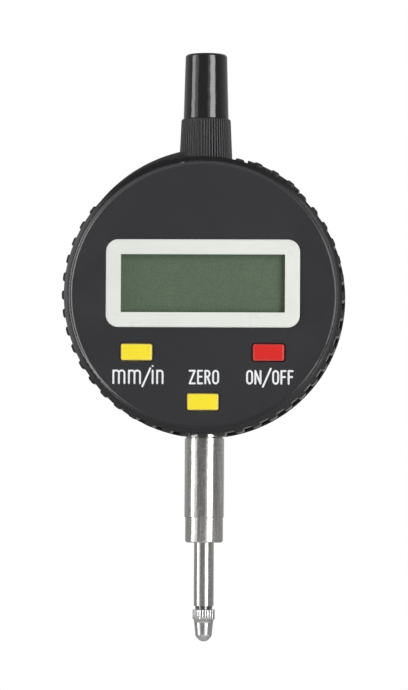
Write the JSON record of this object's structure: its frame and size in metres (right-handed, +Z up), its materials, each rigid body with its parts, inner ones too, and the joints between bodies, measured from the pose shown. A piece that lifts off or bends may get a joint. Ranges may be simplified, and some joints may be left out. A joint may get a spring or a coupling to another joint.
{
  "type": "digital indicator",
  "caption": "Plunger-type digital indicator: round ribbed case with a display and push buttons, clamping stem, sprung spindle with ball point, dust cap, battery drawer and lug back.",
  "frame": {"origin": "middle of the stem's 8 mm clamping length, on the spindle's axis", "axes": "+Z up along the spindle towards the dust cap, -Y out of the face towards the reader, +X to the reader's right"},
  "size_m": [0.0564, 0.0361, 0.1183],
  "materials": {
    "case_plastic": "satin moulded, slightly textured",
    "face_plastic": "fine satin",
    "white_plastic": "smooth satin white",
    "clear_pane": "clear, polished",
    "lcd_glass": "grey-green polariser",
    "lcd_back": "grey-green reflector",
    "rubber": "matt",
    "board": "green solder mask",
    "resin": "black resin",
    "yellow_plastic": "satin yellow",
    "red_plastic": "satin red",
    "cell_steel": "nickel plated",
    "contact_gold": "gold plated",
    "stem_steel": "ground and polished",
    "spindle_steel": "ground and polished",
    "point_steel": "turned, bright",
    "ball_steel": "polished",
    "screw_steel": "zinc plated",
    "spring_steel": "bright wire",
    "brass": "turned",
    "aluminium": "machined",
    "collar_plastic": "satin, ribbed",
    "cap_plastic": "glossy black"
  },
  "bodies": {
    "case": {"housing": "case_plastic", "front_cover": "face_plastic", "rear_cover": "case_plastic", "rear_screws": "screw_steel", "cover_screws": "screw_steel", "board_screws": "screw_steel", "lcd_frame": "white_plastic", "lcd_window": "clear_pane", "lcd_front_glass": "lcd_glass", "lcd_rear_glass": "lcd_back", "lcd_holder": "case_plastic", "zebra_strips": "rubber", "main_board": "board", "chip_cover": "resin", "switch_base_unit": "case_plastic", "switch_base_zero": "case_plastic", "switch_base_power": "case_plastic", "contact_minus": "contact_gold", "contact_plus": "contact_gold", "data_connector": "case_plastic", "data_pins": "contact_gold", "stem": "stem_steel", "lower_bush": "brass", "upper_bush": "brass", "buffer_ring": "rubber", "guide_rod": "spindle_steel", "return_spring": "spring_steel", "cap_collar": "collar_plastic"},
    "spindle_set": {"spindle": "spindle_steel", "contact_point": "point_steel", "contact_ball": "ball_steel", "carriage": "aluminium", "carriage_screw": "screw_steel", "scale_plate": "board"},
    "unit_key": {"button_unit": "yellow_plastic", "switch_plunger_unit": "white_plastic"},
    "zero_key": {"button_zero": "yellow_plastic", "switch_plunger_zero": "white_plastic"},
    "power_key": {"button_power": "red_plastic", "switch_plunger_power": "white_plastic"},
    "drawer": {"battery_drawer": "case_plastic", "battery": "cell_steel"},
    "port_lid": {"port_cover": "case_plastic"},
    "cap": {"dust_cap": "cap_plastic"}
  },
  "joints": [
    {"name": "spindle_travel", "type": "slide", "parent": "case", "child": "spindle_set", "axis": [0, 0, 1], "range_m": [0, 0.0127], "stiffness_N_per_m": 60, "springref_m": -0.0117, "deforming": ["return_spring"]},
    {"name": "unit_button_press", "type": "slide", "parent": "case", "child": "unit_key", "axis": [0, 1, 0], "range_m": [0, 0.0004], "stiffness_N_per_m": 500, "springref_m": -0.002},
    {"name": "zero_button_press", "type": "slide", "parent": "case", "child": "zero_key", "axis": [0, 1, 0], "range_m": [0, 0.0004], "stiffness_N_per_m": 500, "springref_m": -0.002},
    {"name": "power_button_press", "type": "slide", "parent": "case", "child": "power_key", "axis": [0, 1, 0], "range_m": [0, 0.0004], "stiffness_N_per_m": 500, "springref_m": -0.002},
    {"name": "battery_drawer_slide", "type": "slide", "parent": "case", "child": "drawer", "axis": [0.5, 0, 0.866], "range_m": [0, 0.014]},
    {"name": "port_cover_pull", "type": "slide", "parent": "case", "child": "port_lid", "axis": [-0.4886, 0, 0.8725], "range_m": [0, 0.006]},
    {"name": "dust_cap_pull", "type": "slide", "parent": "case", "child": "cap", "axis": [0, 0, 1], "range_m": [0, 0.006]}
  ]
}
